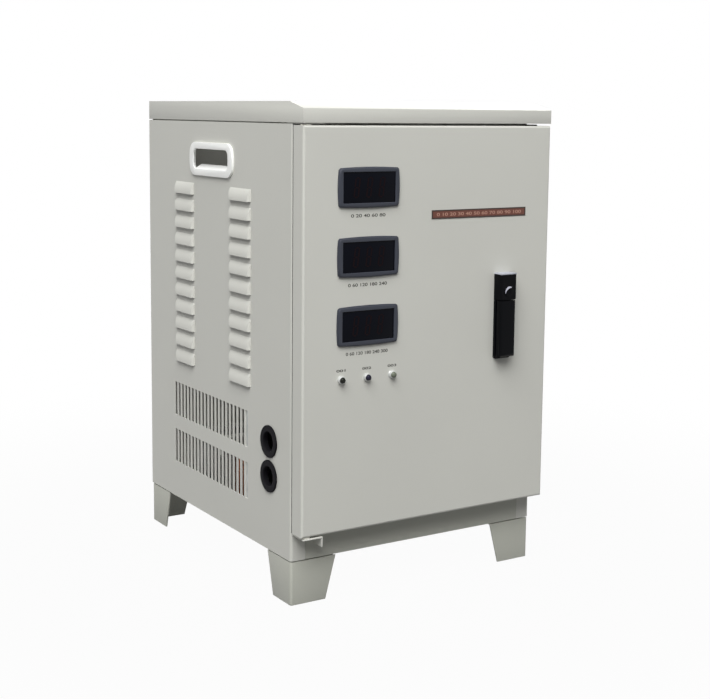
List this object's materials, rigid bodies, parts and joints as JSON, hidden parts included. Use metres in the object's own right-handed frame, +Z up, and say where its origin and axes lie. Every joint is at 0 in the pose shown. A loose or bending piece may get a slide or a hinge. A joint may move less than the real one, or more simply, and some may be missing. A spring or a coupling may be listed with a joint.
{
  "type": "voltage stabilizer",
  "caption": "Floor-standing servo voltage stabilizer: louvred sheet-metal cabinet on folded feet, hinged meter door with swing-handle lock, and a geared ring regulator inside.",
  "frame": {"origin": "on the floor, at the middle of the footprint box", "axes": "+Z up, the door faces -Y, +X to the right of a person who faces the door"},
  "size_m": [0.41, 0.494, 0.661],
  "materials": {
    "cabinet_paint": "fine powder coat",
    "galvanised": "zinc plated",
    "white_plastic": "moulded, satin",
    "black_plastic": "moulded, satin",
    "black_rubber": "matte",
    "bezel_plastic": "moulded, fine grain",
    "window_plastic": "polished, dark tint",
    "lamp_chrome": "polished",
    "lamp_lens": "polished",
    "strip_film": "printed film",
    "lock_black": "black powder coat",
    "board_laminate": "solder mask",
    "component_plastic": "moulded",
    "switchgear_plastic": "moulded",
    "lamination_steel": "varnished laminations",
    "copper_wire": "enamelled copper",
    "brass": "turned",
    "arm_aluminium": "die cast",
    "carbon": "pressed carbon",
    "gear_nylon": "moulded nylon",
    "motor_case": "passivated"
  },
  "bodies": {
    "cabinet": {"base_tray": "cabinet_paint", "side_panel_left": "cabinet_paint", "side_panel_right": "cabinet_paint", "rear_panel": "cabinet_paint", "top_rail": "cabinet_paint", "lid": "cabinet_paint", "lid_gasket": "black_rubber", "corner_feet": "cabinet_paint", "carry_handle_left": "white_plastic", "carry_handle_right": "white_plastic", "cable_grommet_upper": "black_rubber", "cable_grommet_lower": "black_rubber", "cabinet_screws": "galvanised", "foot_bolts": "galvanised", "hinge_plate_lower": "cabinet_paint", "hinge_plate_upper": "cabinet_paint", "hinge_pins": "galvanised", "mounting_plate": "galvanised", "control_board": "board_laminate", "board_components": "component_plastic", "din_rail": "galvanised", "contactor": "switchgear_plastic", "circuit_breaker": "switchgear_plastic", "current_transformer": "black_plastic", "terminal_block": "black_plastic", "earth_stud": "brass", "transformer_core": "lamination_steel", "transformer_coil": "copper_wire", "transformer_clamps": "galvanised", "variac_plates": "galvanised", "variac_tie_rods": "galvanised", "variac_cores": "lamination_steel", "variac_windings": "copper_wire", "variac_bearings": "brass", "servo_motor": "motor_case", "limit_switches": "black_plastic"},
    "door": {"door_panel": "cabinet_paint", "door_stiffeners": "cabinet_paint", "door_gasket": "black_rubber", "hinge_bushes": "white_plastic", "meter_upper": "bezel_plastic", "meter_middle": "bezel_plastic", "meter_lower": "bezel_plastic", "meter_windows": "window_plastic", "lamp_bezels": "lamp_chrome", "lamp_lenses": "lamp_lens", "printed_strip": "strip_film", "lock_base": "lock_black", "lock_nut": "galvanised"},
    "lock_spindle": {"lock_spindle": "galvanised", "lock_cam": "galvanised"},
    "lock_handle": {"lock_handle": "lock_black", "lock_handle_pin": "galvanised"},
    "lock_button": {"lock_button": "lock_black"},
    "brush_rotor": {"brush_shaft": "galvanised", "drive_gear": "gear_nylon", "brush_arms": "arm_aluminium", "carbon_brushes": "carbon"},
    "motor_pinion": {"motor_pinion": "galvanised"},
    "breaker_toggle": {"breaker_toggle": "black_plastic"}
  },
  "joints": [
    {"name": "door_hinge", "type": "hinge", "parent": "cabinet", "child": "door", "pos_m": [-0.1905, -0.22025, 0.36], "axis": [0, 0, -1], "range_deg": [0, 110]},
    {"name": "lock_turn", "type": "hinge", "parent": "door", "child": "lock_spindle", "pos_m": [0.119, -0.22925, 0.3177], "axis": [0, 1, 0], "range_deg": [0, 90]},
    {"name": "handle_tilt", "type": "hinge", "parent": "lock_spindle", "child": "lock_handle", "pos_m": [0.119, -0.24005, 0.3177], "axis": [1, 0, 0], "range_deg": [0, 30]},
    {"name": "button_press", "type": "slide", "parent": "door", "child": "lock_button", "axis": [0, 1, 0], "range_m": [0, 0.003], "stiffness_N_per_m": 300, "springref_m": -0.001},
    {"name": "brush_turn", "type": "hinge", "parent": "cabinet", "child": "brush_rotor", "pos_m": [0.07, 0.08875, 0.2], "axis": [0, 0, 1], "range_deg": [-155, 155]},
    {"name": "pinion_turn", "type": "hinge", "parent": "cabinet", "child": "motor_pinion", "pos_m": [0.07, 0.028, 0.38], "axis": [0, 0, 1], "range_deg": [-545, 545]},
    {"name": "breaker_switch", "type": "hinge", "parent": "cabinet", "child": "breaker_toggle", "pos_m": [0, -0.14975, 0.3605], "axis": [1, 0, 0], "range_deg": [0, 50]}
  ],
  "couplings": [
    {"joint": "pinion_turn", "follows": "brush_turn", "ratio": -3.5}
  ]
}
